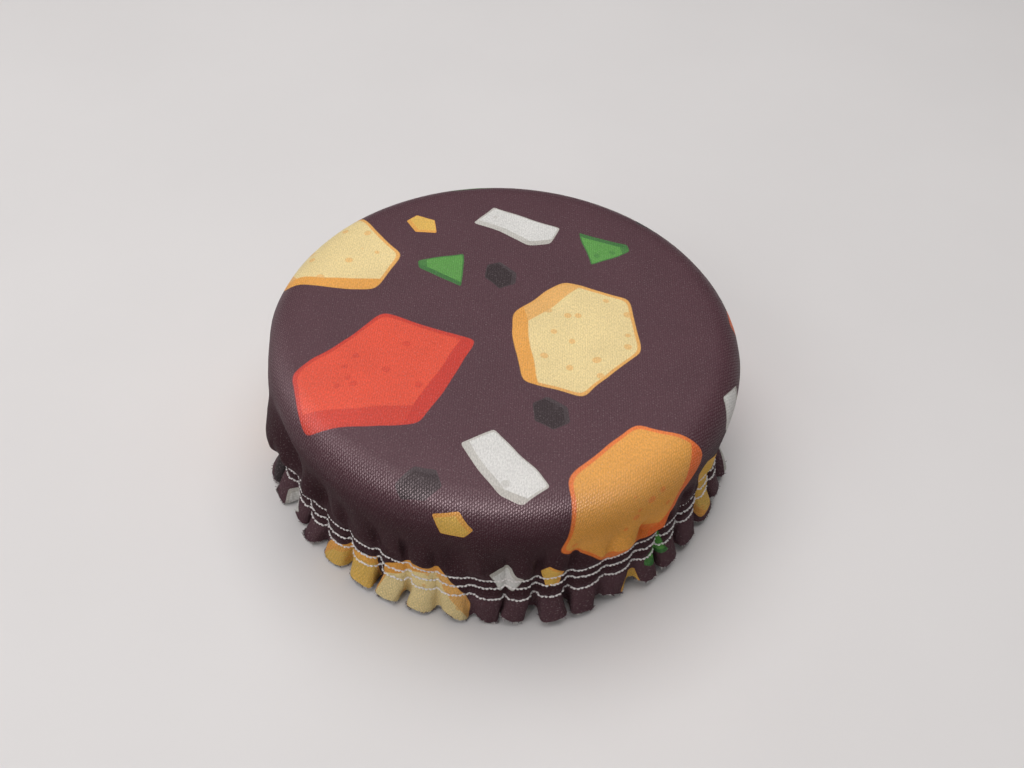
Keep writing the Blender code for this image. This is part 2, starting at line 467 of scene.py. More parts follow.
    def pleat(self, gather, depth):
        """How much deeper the gathers are where the cloth puffs out above the band."""
        middle = self.band_top - PLEAT_HEIGHT
        begun = smooth(between(middle - 1.3 * PLEAT_HEIGHT, middle, depth))
        ended = smooth(between(middle, self.band_top + 0.0005, depth))
        return PLEAT_WAVE * begun * (1 - ended) * self.blend(self.pleats, gather)

    def puff(self, depth):
        """Swelling of the cloth between and above the rows of stitches."""
        shape = self.shape
        rows = [shape.skirt_depth + shape.row_pitch * row for row in range(shape.row_count)]
        nearest = min(abs(depth - row) for row in rows)
        swell = shape.puff * smooth(nearest / (shape.row_pitch / 2))
        if depth < shape.skirt_depth:
            near = math.exp(-(((shape.skirt_depth - depth) / PUFF_HEIGHT - 1) ** 2))
            return swell * smooth(between(self.pull_end, self.band_top, depth)) + PUFF_ABOVE * near
        return swell * (1 - smooth(between(self.band_bottom, self.hem, depth)))

    def ripple(self, angle, depth):
        """Slow unevenness of the skirt, and the soft folds of its loose lower part."""
        shape = self.shape
        skirt = smooth(between(shape.shoulder_radius * 0.5, shape.skirt_depth * 0.62, depth))
        skirt = skirt * (1 - smooth(between(self.pull_end, self.band_top, depth)))
        begun = smooth(between(SWELL_START, SWELL_FULL, depth))
        ended = smooth(between(self.band_top - SWELL_FADE, self.band_top - SWELL_END, depth))
        swells = begun * (1 - ended) * waves_round(angle, SWELLS)
        return skirt * waves_round(angle, SLOW_WAVES) + swells

    def place(self, gather, depth, radius):
        """Points of one ring, as an array of x, y and z."""
        shape = self.shape
        gather = np.asarray(gather, float)
        down = smooth(between(shape.shoulder_radius * 0.4, self.band_top, depth))
        edge = smooth(between(self.band_bottom, self.hem, depth))
        wave = self.wave(gather, depth) if depth > 0 else np.zeros_like(gather)
        shift, height = self.arcs(gather)
        full = math.tau * radius / shape.gathers / 4 if radius else 1.0
        turned = gather + self.blend(self.turns, gather) * down + shift * wave / full
        turned = turned + self.blend(self.leans, gather) * edge
        angle = turned * math.tau / shape.gathers
        out = np.full_like(angle, radius)
        if depth > 0:
            out += self.pull(angle, depth) + self.ripple(angle, depth) + self.kick(angle, depth)
            out += height * wave + self.puff(depth)
        low = depth + shape.tilt * np.cos(angle - shape.tilt_direction) * smooth(
            between(shape.shoulder_radius, self.band_top, depth)
        )
        low = low + self.blend(self.hems, gather) * edge
        low = low - CURL * edge * self.blend(self.curls, gather) * np.sin(math.tau * gather)
        if depth == 0:
            rim = shape.rim_radius - shape.shoulder_radius
            low = low + shape.sag * (1 - (radius / rim) ** 2)
        height = np.maximum(self.top - low, LIFT)
        return np.stack([out * np.cos(angle), out * np.sin(angle), height], axis=-1)


def select_only(item):
    """Leave one object selected and active."""
    bpy.ops.object.select_all(action="DESELECT")
    item.select_set(True)
    bpy.context.view_layer.objects.active = item


def settle(item):
    """Put an object's place, turn and scale into its mesh."""
    select_only(item)
    bpy.ops.object.transform_apply(location=True, rotation=True, scale=True)


def select_vertices(mesh, chosen):
    """Leave only the vertices that a test picks selected, in edit mode."""
    bpy.ops.mesh.select_mode(type="VERT")
    bpy.ops.mesh.select_all(action="DESELECT")
    cage = bmesh.from_edit_mesh(mesh)
    for vertex in cage.verts:
        vertex.select = chosen(vertex)
    cage.select_flush_mode()
    bmesh.update_edit_mesh(mesh)


def select_edges(mesh, chosen):
    """Leave only the edges that a test picks selected, in edit mode."""
    bpy.ops.mesh.select_mode(type="EDGE")
    bpy.ops.mesh.select_all(action="DESELECT")
    cage = bmesh.from_edit_mesh(mesh)
    for edge in cage.edges:
        edge.select = chosen(edge)
    bmesh.update_edit_mesh(mesh)


def apply_all(item):
    """Apply every modifier of an object in order."""
    select_only(item)
    for modifier in list(item.modifiers):
        bpy.ops.object.modifier_apply(modifier=modifier.name)


def finish_piece(item, slot, *nodes):
    """Ride on the cover's body and stand for its solids."""
    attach(item, "root")
    if nodes:
        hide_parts(*nodes)


class Nodes:
    """Short way to lay out a material's or a group's nodes."""

    def __init__(self, tree):
        self.tree = tree
        self.column = 0

    def add(self, kind, inputs=None, **settings):
        """A node with its settings, and its inputs linked or set by name or number."""
        node = self.tree.nodes.new(kind)
        self.column += 1
        node.location = (180 * (self.column % 24), -220 * (self.column // 24))
        for name, value in settings.items():
            setattr(node, name, value)
        for name, value in (inputs or {}).items():
            if isinstance(value, bpy.types.NodeSocket):
                self.tree.links.new(value, node.inputs[name])
            else:
                node.inputs[name].default_value = value
        return node

    def math(self, operation, first, second=0.0, third=0.0):
        """A Math node's result."""
        node = self.add("ShaderNodeMath", {0: first, 1: second, 2: third}, operation=operation)
        return node.outputs[0]

    def vector(self, operation, first, second=(0.0, 0.0, 0.0)):
        """A Vector Math node."""
        return self.add("ShaderNodeVectorMath", {0: first, 1: second}, operation=operation)

    def ramp(self, value, low, high, start=0.0, end=1.0):
        """A value mapped smoothly from low and high to start and end."""
        inputs = {"Value": value, "From Min": low, "From Max": high, "To Min": start, "To Max": end}
        return self.add("ShaderNodeMapRange", inputs, interpolation_type="SMOOTHSTEP").outputs[0]

    def mix(self, factor, first, second):
        """A colour mix."""
        node = self.add("ShaderNodeMix", data_type="RGBA")
        for number, value in ((0, factor), (6, first), (7, second)):
            if isinstance(value, bpy.types.NodeSocket):
                self.tree.links.new(value, node.inputs[number])
            else:
                node.inputs[number].default_value = value
        return node.outputs[2]

    def noise(self, vector, scale, detail=2.0, roughness=0.5):
        """A noise texture's value."""
        inputs = {"Vector": vector, "Scale": scale, "Detail": detail, "Roughness": roughness}
        return self.add("ShaderNodeTexNoise", inputs).outputs[0]

    def link(self, start, end):
        """Join two sockets."""
        self.tree.links.new(start, end)


def solid(values):
    """A colour with full alpha."""
    return (*values[:3], 1.0)


def new_material(name):
    """A material with a Principled shader, its nodes and the shader."""
    made = bpy.data.materials.new(name)
    made.use_nodes = True
    nodes = Nodes(made.node_tree)
    shader = made.node_tree.nodes["Principled BSDF"]
    return made, nodes, shader


# Corners of the printed pieces: direction in degrees and distance of each side
CUTS = {
    "slab": ((4, 0.86), (93, 0.62), (176, 0.92), (263, 0.70), (318, 0.84)),
    "pebble": ((12, 0.80), (80, 0.74), (148, 0.86), (214, 0.72), (284, 0.82)),
    "shard": ((20, 0.62), (140, 0.58), (205, 0.80), (262, 0.55)),
    "round": ((0, 0.90), (58, 0.84), (118, 0.88), (180, 0.86), (236, 0.90), (300, 0.82)),
}


def cut_group(name, sides):
    """Node group that lays one faceted piece of the print over what lies under it."""
    group = bpy.data.node_groups.new("print " + name, "ShaderNodeTree")
    face = group.interface
    for label, kind in (
        ("Under", "NodeSocketColor"),
        ("Flat", "NodeSocketVector"),
        ("Middle", "NodeSocketVector"),
        ("Turn", "NodeSocketFloat"),
        ("Reach", "NodeSocketVector"),
        ("Light", "NodeSocketColor"),
        ("Shade", "NodeSocketColor"),
        ("Spots", "NodeSocketFloat"),
    ):
        face.new_socket(label, in_out="INPUT", socket_type=kind)
    face.new_socket("Colour", in_out="OUTPUT", socket_type="NodeSocketColor")
    nodes = Nodes(group)
    given = nodes.add("NodeGroupInput").outputs
    moved = nodes.vector("SUBTRACT", given["Flat"], given["Middle"]).outputs[0]
    turned = nodes.add(
        "ShaderNodeVectorRotate", {"Vector": moved, "Angle": given["Turn"]}, rotation_type="Z_AXIS"
    ).outputs[0]
    place = nodes.vector("DIVIDE", turned, given["Reach"]).outputs[0]
    walls = []
    for direction, distance in sides:
        turn = math.radians(direction)
        line = (math.cos(turn), math.sin(turn), -distance)
        walls.append(nodes.vector("DOT_PRODUCT", place, line).outputs["Value"])
    outline = walls[0]
    for wall in walls[1:]:
        outline = nodes.math("SMOOTH_MAX", outline, wall, 0.14)
    inside = nodes.ramp(outline, -0.008, 0.008, 1.0, 0.0)
    facet = nodes.ramp(walls[-2], -0.27, -0.25)
    corner = nodes.ramp(walls[-1], -0.21, -0.19)
    rim = nodes.ramp(outline, -0.055, -0.035)
    shade = nodes.math("MAXIMUM", nodes.math("MULTIPLY", facet, 0.75), corner)
    shade = nodes.math("MAXIMUM", shade, nodes.math("MULTIPLY", rim, 0.85))
    shade = nodes.math("MAXIMUM", shade, given["Spots"])
    tone = nodes.mix(shade, given["Light"], given["Shade"])
    result = nodes.mix(inside, given["Under"], tone)
    nodes.link(result, nodes.add("NodeGroupOutput").inputs[0])
    return group


# The print's pieces: outline, light and shaded colour, half length and half width in metres,
# and how many of them are scattered
PIECES = (
    ("slab", "orange", "ember", 0.0340, 0.0250, 2),
    ("round", "amber", "orange", 0.0285, 0.0260, 2),
    ("pebble", "red", "brick", 0.0315, 0.0245, 2),
    ("round", "cream", "amber", 0.0265, 0.0215, 3),
    ("slab", "yellow", "amber", 0.0180, 0.0125, 3),
    ("slab", "white", "stone", 0.0150, 0.0095, 4),
    ("pebble", "white", "stone", 0.0085, 0.0078, 3),
    ("round", "dark", "slate", 0.0070, 0.0056, 5),
    ("shard", "green", "moss", 0.0105, 0.0082, 5),
    ("pebble", "yellow", "amber", 0.0062, 0.0052, 4),
)


def scattered(colours, reach):
    """Where each printed piece lies on the flat cloth, the largest first, none touching."""
    draw = random.Random(colours.seed)
    laid = []
    for outline, light, shade, long, wide, number in PIECES:
        room = PRINT_ROOM * max(long, wide)
        for _ in range(number):
            for _ in range(PRINT_TRIES):
                away = reach * math.sqrt(draw.random())
                turn = draw.uniform(0, math.tau)
                x, y = away * math.cos(turn), away * math.sin(turn)
                spare = min((math.hypot(x - item[0], y - item[1]) - item[2] for item in laid), default=1.0)
                if spare > room + PRINT_GAP:
                    facing_to = draw.uniform(0, math.tau)
                    laid.append((x, y, room, outline, light, shade, long, wide, facing_to))
                    break
    return laid


def flat_cloth(nodes):
    """Place on the flat cloth in metres, from the UV map."""
    uv = nodes.add("ShaderNodeUVMap", uv_map="flat").outputs[0]
    middle = nodes.vector("SUBTRACT", uv, (0.5, 0.5, 0.0)).outputs[0]
    return nodes.vector("MULTIPLY", middle, (UV_SPAN, UV_SPAN, 0.0)).outputs[0]


def knit(nodes, flat):
    """Height of the knit: columns of slanted loops, each column half a loop lower than the last."""
    stray = nodes.add("ShaderNodeTexNoise", {"Vector": flat, "Scale": 900.0, "Detail": 1.0}).outputs[1]
    stray = nodes.vector("SUBTRACT", stray, (0.5, 0.5, 0.5)).outputs[0]
    stray = nodes.vector("MULTIPLY", stray, (0.0005, 0.0009, 0.0)).outputs[0]
    parts = nodes.add("ShaderNodeSeparateXYZ", {0: nodes.vector("ADD", flat, stray).outputs[0]})
    wale = nodes.math("MULTIPLY", parts.outputs[0], 1 / LOOP_WIDTH)
    across = nodes.math("SUBTRACT", nodes.math("FRACT", wale), 0.5)
    course = nodes.math("MULTIPLY", parts.outputs[1], 1 / LOOP_HEIGHT)
    course = nodes.math("MULTIPLY_ADD", nodes.math("FLOOR", wale), 0.5, course)
    course = nodes.math("MULTIPLY_ADD", across, -0.45, course)
    along = nodes.math("SUBTRACT", nodes.math("FRACT", course), 0.5)
    wide = nodes.math("POWER", nodes.math("MULTIPLY", across, 2.3), 2.0)
    tall = nodes.math("POWER", nodes.math("MULTIPLY", along, 2.0), 2.0)
    away = nodes.math("SQRT", nodes.math("ADD", wide, tall))
    return nodes.ramp(away, 0.25, 1.05, 1.0, 0.0)


def puckers(nodes, flat):
    """Height of the small creases that the stitches draw into the cloth near the band."""
    away = nodes.vector("LENGTH", flat).outputs["Value"]
    parts = nodes.add("ShaderNodeSeparateXYZ", {0: flat})
    turn = nodes.math("ARCTAN2", parts.outputs[1], parts.outputs[0])
    across = nodes.math("MULTIPLY", turn, 14.0)
    outwards = nodes.math("MULTIPLY", away, 60.0)
    place = nodes.add("ShaderNodeCombineXYZ", {0: across, 1: outwards})
    crease = nodes.noise(place.outputs[0], 2.2, 2.0, 0.55)
    near = nodes.ramp(away, PUCKER_START, PUCKER_FULL)
    return nodes.math("MULTIPLY", crease, near)


def printed_pieces(nodes, colours, reach, flat, tone):
    """The scattered pieces of the print over the ground, with spots and slightly wavy outlines."""
    wander = nodes.add("ShaderNodeTexNoise", {"Vector": flat, "Scale": 55.0, "Detail": 1.0})
    shift = nodes.vector("SUBTRACT", wander.outputs[1], (0.5, 0.5, 0.5)).outputs[0]
    shift = nodes.vector("MULTIPLY", shift, (0.0035, 0.0035, 0.0)).outputs[0]
    drawn = nodes.vector("ADD", flat, shift).outputs[0]
    cells = nodes.add("ShaderNodeTexVoronoi", {"Vector": drawn, "Scale": 150.0, "Randomness": 1.0})
    spots = nodes.ramp(cells.outputs["Distance"], 0.16, 0.22, 0.5, 0.0)
    groups = {name: cut_group(name, sides) for name, sides in CUTS.items()}
    for x, y, _, outline, light, shade, long, wide, turn in scattered(colours, reach):
        tone = nodes.add(
            "ShaderNodeGroup",
            {
                "Under": tone,
                "Flat": drawn,
                "Middle": (x, y, -1.0),
                "Turn": turn,
                "Reach": (long, wide, 1.0),
                "Light": solid(getattr(colours, light)),
                "Shade": solid(getattr(colours, shade)),
                "Spots": spots,
            },
            node_tree=groups[outline],
        ).outputs[0]
    return tone


def printed_knit(colours, reach):
    """Printed face of the cloth: the print, the knit's grain, painted shade on the shoulder, the skirt and
    between the knit's loops, and a satin sheen.
    """
    made, nodes, shader = new_material("printed knit")
    flat = flat_cloth(nodes)
    away = nodes.vector("LENGTH", flat).outputs["Value"]
    hanging = nodes.ramp(away, RUFFLE_START, RUFFLE_FULL)
    # Painted shade: the ground darkens to the second ground colour over the shoulder and skirt, and the
    # ruffle goes nearly back to the plain ground.
    painted_skirt_shade = nodes.math("MULTIPLY_ADD", hanging, -0.9, nodes.ramp(away, SKIRT_SHADE_START, SKIRT_SHADE_FULL))
    tone = nodes.mix(painted_skirt_shade, solid(colours.ground), solid(colours.painted_skirt_shade))
    tone = printed_pieces(nodes, colours, reach, flat, tone)
    loops = knit(nodes, flat)
    rising = nodes.ramp(away, *LOOPS_SHOW, 0.12, 0.80)
    falling = nodes.ramp(away, *LOOPS_FADE, 1.0, 0.3)
    bold = nodes.math("MULTIPLY_ADD", hanging, 0.6, nodes.math("MULTIPLY", rising, falling))
    drawn_out = nodes.vector("MULTIPLY", flat, (1.0, 0.45, 1.0)).outputs[0]
    grain = nodes.ramp(nodes.noise(drawn_out, 2300.0, 2.0, 0.6), 0.34, 0.66, 0.88, 1.09)
    cloud = nodes.ramp(nodes.noise(flat, 60.0, 2.0), 0.3, 0.7, 0.96, 1.04)
    # Painted shade and light of the knit's relief: the colour darkens in the gaps between loops and lightens
    # a little on them, most where the loops show boldest, on the shoulder and the ruffle; the product below
    # also carries the print's grain and its random cloudy tone.
    painted_loop_shade = nodes.math("MULTIPLY_ADD", nodes.ramp(loops, 0.0, 0.8, -0.14, 0.06), bold, 1.0)
    depth = nodes.math("MULTIPLY", nodes.math("MULTIPLY", grain, cloud), painted_loop_shade)
    depth = nodes.add("ShaderNodeCombineXYZ", {0: depth, 1: depth, 2: depth}).outputs[0]
    tone = nodes.vector("MULTIPLY", tone, depth).outputs[0]
    speck = nodes.ramp(nodes.noise(flat, 1900.0, 1.0), 0.58, 0.74, 0.0, 0.13)
    speck = nodes.math("MULTIPLY", speck, nodes.math("MULTIPLY_ADD", hanging, 0.8, 1.0))
    speck = nodes.math("MULTIPLY_ADD", hanging, 0.035, speck)
    nodes.link(nodes.mix(speck, tone, solid(colours.speck)), shader.inputs["Base Color"])
    fine = nodes.noise(flat, 2600.0, 2.0, 0.6)
    height = nodes.math("MULTIPLY_ADD", fine, 0.4, loops)
    bump = nodes.add("ShaderNodeBump", {"Strength": 0.7, "Distance": 0.00007, "Height": height})
    folds = nodes.add(
        "ShaderNodeBump",
        {"Strength": 0.9, "Distance": 0.0010, "Height": puckers(nodes, flat), "Normal": bump.outputs[0]},
    )
    nodes.link(folds.outputs[0], shader.inputs["Normal"])
    shader.inputs["Roughness"].default_value = 0.45
    gloss = nodes.math("MULTIPLY_ADD", nodes.ramp(loops, 0.1, 0.8, -0.30, 0.36), bold, 0.34)
    gloss = nodes.math("MULTIPLY", gloss, nodes.ramp(away, *GLOSS_FADES, 1.0, 0.04))
    nodes.link(gloss, shader.inputs["Specular IOR Level"])
    shader.inputs["Specular Tint"].default_value = (1.0, 0.80, 0.83, 1.0)
    return made


def laminated_back(colours):
    """Back of the cloth: a pale satin film over the knit."""
    made, nodes, shader = new_material("laminated back")
    flat = flat_cloth(nodes)
    mottle = nodes.ramp(nodes.noise(flat, 140.0, 3.0), 0.3, 0.7)
    tone = nodes.mix(mottle, solid([0.90 * value for value in colours.back]), solid(colours.back))
    nodes.link(tone, shader.inputs["Base Color"])
    height = nodes.math("ADD", knit(nodes, flat), nodes.noise(flat, 700.0, 2.0))
    bump = nodes.add("ShaderNodeBump", {"Strength": 0.25, "Distance": 0.00008, "Height": height})
    nodes.link(bump.outputs[0], shader.inputs["Normal"])
    shader.inputs["Roughness"].default_value = 0.34
    return made


def cut_edge(colours):
    """Cut edge of the cloth, where pale film and printed knit show side by side."""
    made, nodes, shader = new_material("cut edge")
    flat = flat_cloth(nodes)
    fleck = nodes.ramp(nodes.noise(flat, 1500.0, 3.0, 0.7), 0.42, 0.58)
    tone = nodes.mix(fleck, solid(colours.ground), solid(colours.back))
    nodes.link(tone, shader.inputs["Base Color"])
    bump = nodes.add("ShaderNodeBump", {"Strength": 0.6, "Distance": 0.0001, "Height": fleck})
    nodes.link(bump.outputs[0], shader.inputs["Normal"])
    shader.inputs["Roughness"].default_value = 0.8
    return made


def twisted_thread(sewing):
    """White thread with its twist."""
    made, nodes, shader = new_material("sewing thread")
    place = nodes.add("ShaderNodeTexCoord").outputs["Object"]
    twist = nodes.noise(place, 2600.0, 2.0)
    tone = nodes.mix(
        nodes.ramp(twist, 0.3, 0.7), solid([0.80 * value for value in sewing.thread]), solid(sewing.thread)
    )
    nodes.link(tone, shader.inputs["Base Color"])
    bump = nodes.add("ShaderNodeBump", {"Strength": 0.4, "Distance": 0.00005, "Height": twist})
    nodes.link(bump.outputs[0], shader.inputs["Normal"])
    shader.inputs["Roughness"].default_value = 0.6
    shader.inputs["Sheen Weight"].default_value = 0.3
    return made


def loose_fibres(colours):
    """Loose fibres, some dyed and some pale."""
    made, nodes, shader = new_material("loose fibres")
    place = nodes.add("ShaderNodeTexCoord").outputs["Object"]
    pale = nodes.ramp(nodes.noise(place, 700.0, 1.0), 0.44, 0.56)
    nodes.link(nodes.mix(pale, solid(colours.ground), solid(colours.back)), shader.inputs["Base Color"])
    shader.inputs["Roughness"].default_value = 0.8
    return made


def woven_elastic(sewing):
    """Woven elastic with fine cross threads."""
    made, nodes, shader = new_material("woven elastic")
    place = nodes.add("ShaderNodeTexCoord").outputs["Object"]
    parts = nodes.add("ShaderNodeSeparateXYZ", {0: place})
    turn = nodes.math("ARCTAN2", parts.outputs[1], parts.outputs[0])
    cross = nodes.math("SINE", nodes.math("MULTIPLY", turn, 520.0))
    level = nodes.math("SINE", nodes.math("MULTIPLY", parts.outputs[2], math.tau / 0.00062))
    weave = nodes.math("MULTIPLY", cross, level)
    tone = nodes.mix(
        nodes.ramp(weave, -0.6, 0.8), solid([0.78 * value for value in sewing.elastic]), solid(sewing.elastic)
    )
    nodes.link(tone, shader.inputs["Base Color"])
    bump = nodes.add("ShaderNodeBump", {"Strength": 0.6, "Distance": 0.00015, "Height": weave})
    nodes.link(bump.outputs[0], shader.inputs["Normal"])
    shader.inputs["Roughness"].default_value = 0.75
    shader.inputs["Sheen Weight"].default_value = 0.2
    return made


def plain_floor(stage):
    """Pale matt floor with the faintest mottle."""
    made, nodes, shader = new_material("pale floor")
    place = nodes.add("ShaderNodeTexCoord").outputs["Object"]
    mottle = nodes.ramp(nodes.noise(place, 9.0, 4.0), 0.3, 0.7)
    tone = nodes.mix(mottle, solid([0.975 * value for value in stage.floor]), solid(stage.floor))
    nodes.link(tone, shader.inputs["Base Color"])
    shader.inputs["Roughness"].default_value = 0.7
    shader.inputs["Specular IOR Level"].default_value = 0.2
    return made


class COVER_OT_cloth(bpy.types.Operator):
    """Lay the printed knit over its rim and gather its skirt"""

    bl_idname = "cover.cloth"
    bl_label = "Printed knit"

    def execute(self, context):
        shape = context.scene.cover_shape
        colours = context.scene.cover_print
        drape = DrapedCloth(shape)
        rings = drape.stations()
        reach = rings[-1][0]
        mesh = self.draped_mesh(drape, rings)
        for material in (printed_knit(colours, reach), laminated_back(colours), cut_edge(colours)):
            mesh.materials.append(material)
        cloth = bpy.data.objects.new("knit_cloth", mesh)
        context.scene.collection.objects.link(cloth)
        wall = cloth.modifiers.new("cloth", "SOLIDIFY")
        wall.thickness = shape.cloth
        wall.offset = -1.0
        wall.material_offset = 1
        wall.material_offset_rim = 2
        apply_all(cloth)
        bpy.ops.object.shade_smooth_by_angle(angle=math.radians(SHARP_ANGLE))
        finish_piece(cloth, "cloth", "cover")
        return {"FINISHED"}

    def draped_mesh(self, drape, rings):
        """The cloth's face as rings of points round its middle, with its flat places as UV map."""
        shape = drape.shape
        points = shape.gathers * POINTS_A_GATHER
        step = np.arange(points) / POINTS_A_GATHER
        gather = step + CLOSER * np.sin(math.tau * step) / math.tau
        turn = gather * math.tau / shape.gathers
        ragged = random.Random(shape.seed + 1)
        places = [(0.0, 0.0, drape.top - shape.sag)]
        flats = [(0.5, 0.5)]
        for number, (along, radius, depth) in enumerate(rings[1:], 2):
            ring = drape.place(gather, depth, radius)
            if number == len(rings):
                ring[:, 2] += [ragged.uniform(0.0, RAGGED) for _ in range(points)]
            places += [tuple(point) for point in ring]
            reach = along / UV_SPAN
            flats += list(zip(0.5 + reach * np.cos(turn), 0.5 + reach * np.sin(turn)))
        faces = [(0, 1 + step, 1 + (step + 1) % points) for step in range(points)]
        for ring in range(len(rings) - 2):
            inner, outer = 1 + ring * points, 1 + (ring + 1) * points
            for step in range(points):
                after = (step + 1) % points
                faces.append((inner + step, outer + step, outer + after, inner + after))
        mesh = bpy.data.meshes.new("knit_cloth")
        mesh.from_pydata(places, [], faces)
        uv = mesh.uv_layers.new(name="flat")
        for loop in mesh.loops:
            uv.data[loop.index].uv = flats[loop.vertex_index]
        return mesh


def stitch_template(sewing):
    """One stitch: a short arched bead of thread along X, rounded on top, flat below."""
    bpy.ops.object.select_all(action="DESELECT")
    bpy.ops.mesh.primitive_uv_sphere_add(segments=6, ring_count=5, radius=0.5, rotation=(0, math.pi / 2, 0))
    stitch = bpy.context.object
    settle(stitch)
    bpy.ops.object.mode_set(mode="EDIT")
    bpy.ops.mesh.select_all(action="SELECT")
    long = sewing.stitch * STITCH_OVERLAP
    bpy.ops.transform.resize(value=(long, sewing.thread_width, sewing.thread_width))
    select_vertices(stitch.data, lambda vertex: abs(vertex.co.x) > long / 4)
    bpy.ops.transform.translate(value=(0.0, 0.0, -sewing.thread_width * 0.22))
    bpy.ops.object.mode_set(mode="OBJECT")
    bpy.ops.object.shade_smooth()
    return stitch


def joined(name, template, matrices, material):
    """Copies of a template at each matrix, each with its own mesh, joined into one object."""
    copies = []
    for matrix in matrices:
        copy = template.copy()
        copy.data = template.data.copy()
        copy.data.transform(matrix)
        bpy.context.scene.collection.objects.link(copy)
        copies.append(copy)
    bpy.ops.object.select_all(action="DESELECT")
    for copy in copies:
        copy.select_set(True)
    bpy.context.view_layer.objects.active = copies[0]
    bpy.ops.object.join()
    item = bpy.context.object
    item.name = name
    item.data.name = name
    item.data.materials.clear()
    item.data.materials.append(material)
    return item


def along_row(drape, depth, pitch):
    """Place, direction and outward normal of each stitch of a row on the cloth's face."""
    shape = drape.shape
    fine = np.linspace(0, shape.gathers, shape.gathers * 60 + 1)
    radius = drape.mean_radius(depth)
    line = drape.place(fine, depth, radius)
    above = drape.place(fine, depth - 0.0006, drape.mean_radius(depth - 0.0006))
    steps = np.linalg.norm(np.diff(line, axis=0), axis=1)
    reach = np.concatenate([[0.0], np.cumsum(steps)])
    number = int(reach[-1] / pitch)
    places = []
    for stitch in range(number):
        middle = reach[-1] * (stitch + 0.5) / number
        at = min(int(np.searchsorted(reach, middle)), len(fine) - 2)
        forward = Vector(line[at + 1] - line[at - 1]).normalized()
        rise = Vector(above[at] - line[at]).normalized()
        places.append((Vector(line[at]), forward, forward.cross(rise).normalized()))
    return places


def facing(place, forward, out, lift, lean):
    """Matrix that lays a template's X along forward and its Z outward, leaning a little."""
    side = out.cross(forward).normalized()
    turn = Matrix((forward, side, out)).transposed().to_4x4()
    return Matrix.Translation(place + out * lift) @ turn @ Matrix.Rotation(lean, 4, "Z")


class COVER_OT_stitches(bpy.types.Operator):
    """Sew the rows of stitches through the cloth and the elastic"""

    bl_idname = "cover.stitches"
    bl_label = "Rows of stitches"

    def execute(self, context):
        shape = context.scene.cover_shape
        sewing = context.scene.cover_sewing
        drape = DrapedCloth(shape)
        template = stitch_template(sewing)
        material = twisted_thread(sewing)
        draw = random.Random(shape.seed + 2)
        for row in range(shape.row_count):
            depth = shape.skirt_depth + shape.row_pitch * row
            matrices = []
            phases = [draw.uniform(0, math.tau) for _ in WANDER]
            shift = ROW_SHIFTS[row % len(ROW_SHIFTS)]
            drift, highest = ROW_DRIFTS[row % len(ROW_DRIFTS)]
            for step, (place, forward, out) in enumerate(along_row(drape, depth, sewing.stitch)):
                turn = math.atan2(place.y, place.x)
                rise = shift + drift * math.cos(3 * (turn - highest)) + draw.uniform(-0.00012, 0.00012)
                for (often, much), phase in zip(WANDER, phases):
                    rise += much * math.sin(often * turn + phase)
                place = place + out.cross(forward) * rise
                lean = STITCH_LEAN if step % 2 else -STITCH_LEAN
                lean += draw.uniform(-STITCH_STRAY, STITCH_STRAY)
                matrices.append(facing(place, forward, out, sewing.thread_width * 0.34, lean))
            matrices += self.inner_side(drape, depth, sewing, draw)
            name = f"stitches_{row + 1}"
            finish_piece(joined(name, template, matrices, material), "thread", f"stitch_row_{row + 1}")
        bpy.data.objects.remove(template)
        return {"FINISHED"}

    def inner_side(self, drape, depth, sewing, draw):
        """The same row where it shows on the inner face of the elastic."""
        radius = BAND_OUTSIDE - sewing.elastic_thickness
        shape = drape.shape
        number = int(math.tau * radius / (sewing.stitch * 1.6))
        matrices = []
        for step in range(number):
            angle = math.tau * step / number
            low = depth + shape.tilt * math.cos(angle - shape.tilt_direction)
            out = Vector((-math.cos(angle), -math.sin(angle), 0.0))
            forward = Vector((-math.sin(angle), math.cos(angle), 0.0))
            place = Vector((radius * math.cos(angle), radius * math.sin(angle), drape.top - low))
            lean = draw.uniform(-0.15, 0.15)
            matrices.append(facing(place, forward, out, sewing.thread_width * 0.30, lean))
        return matrices


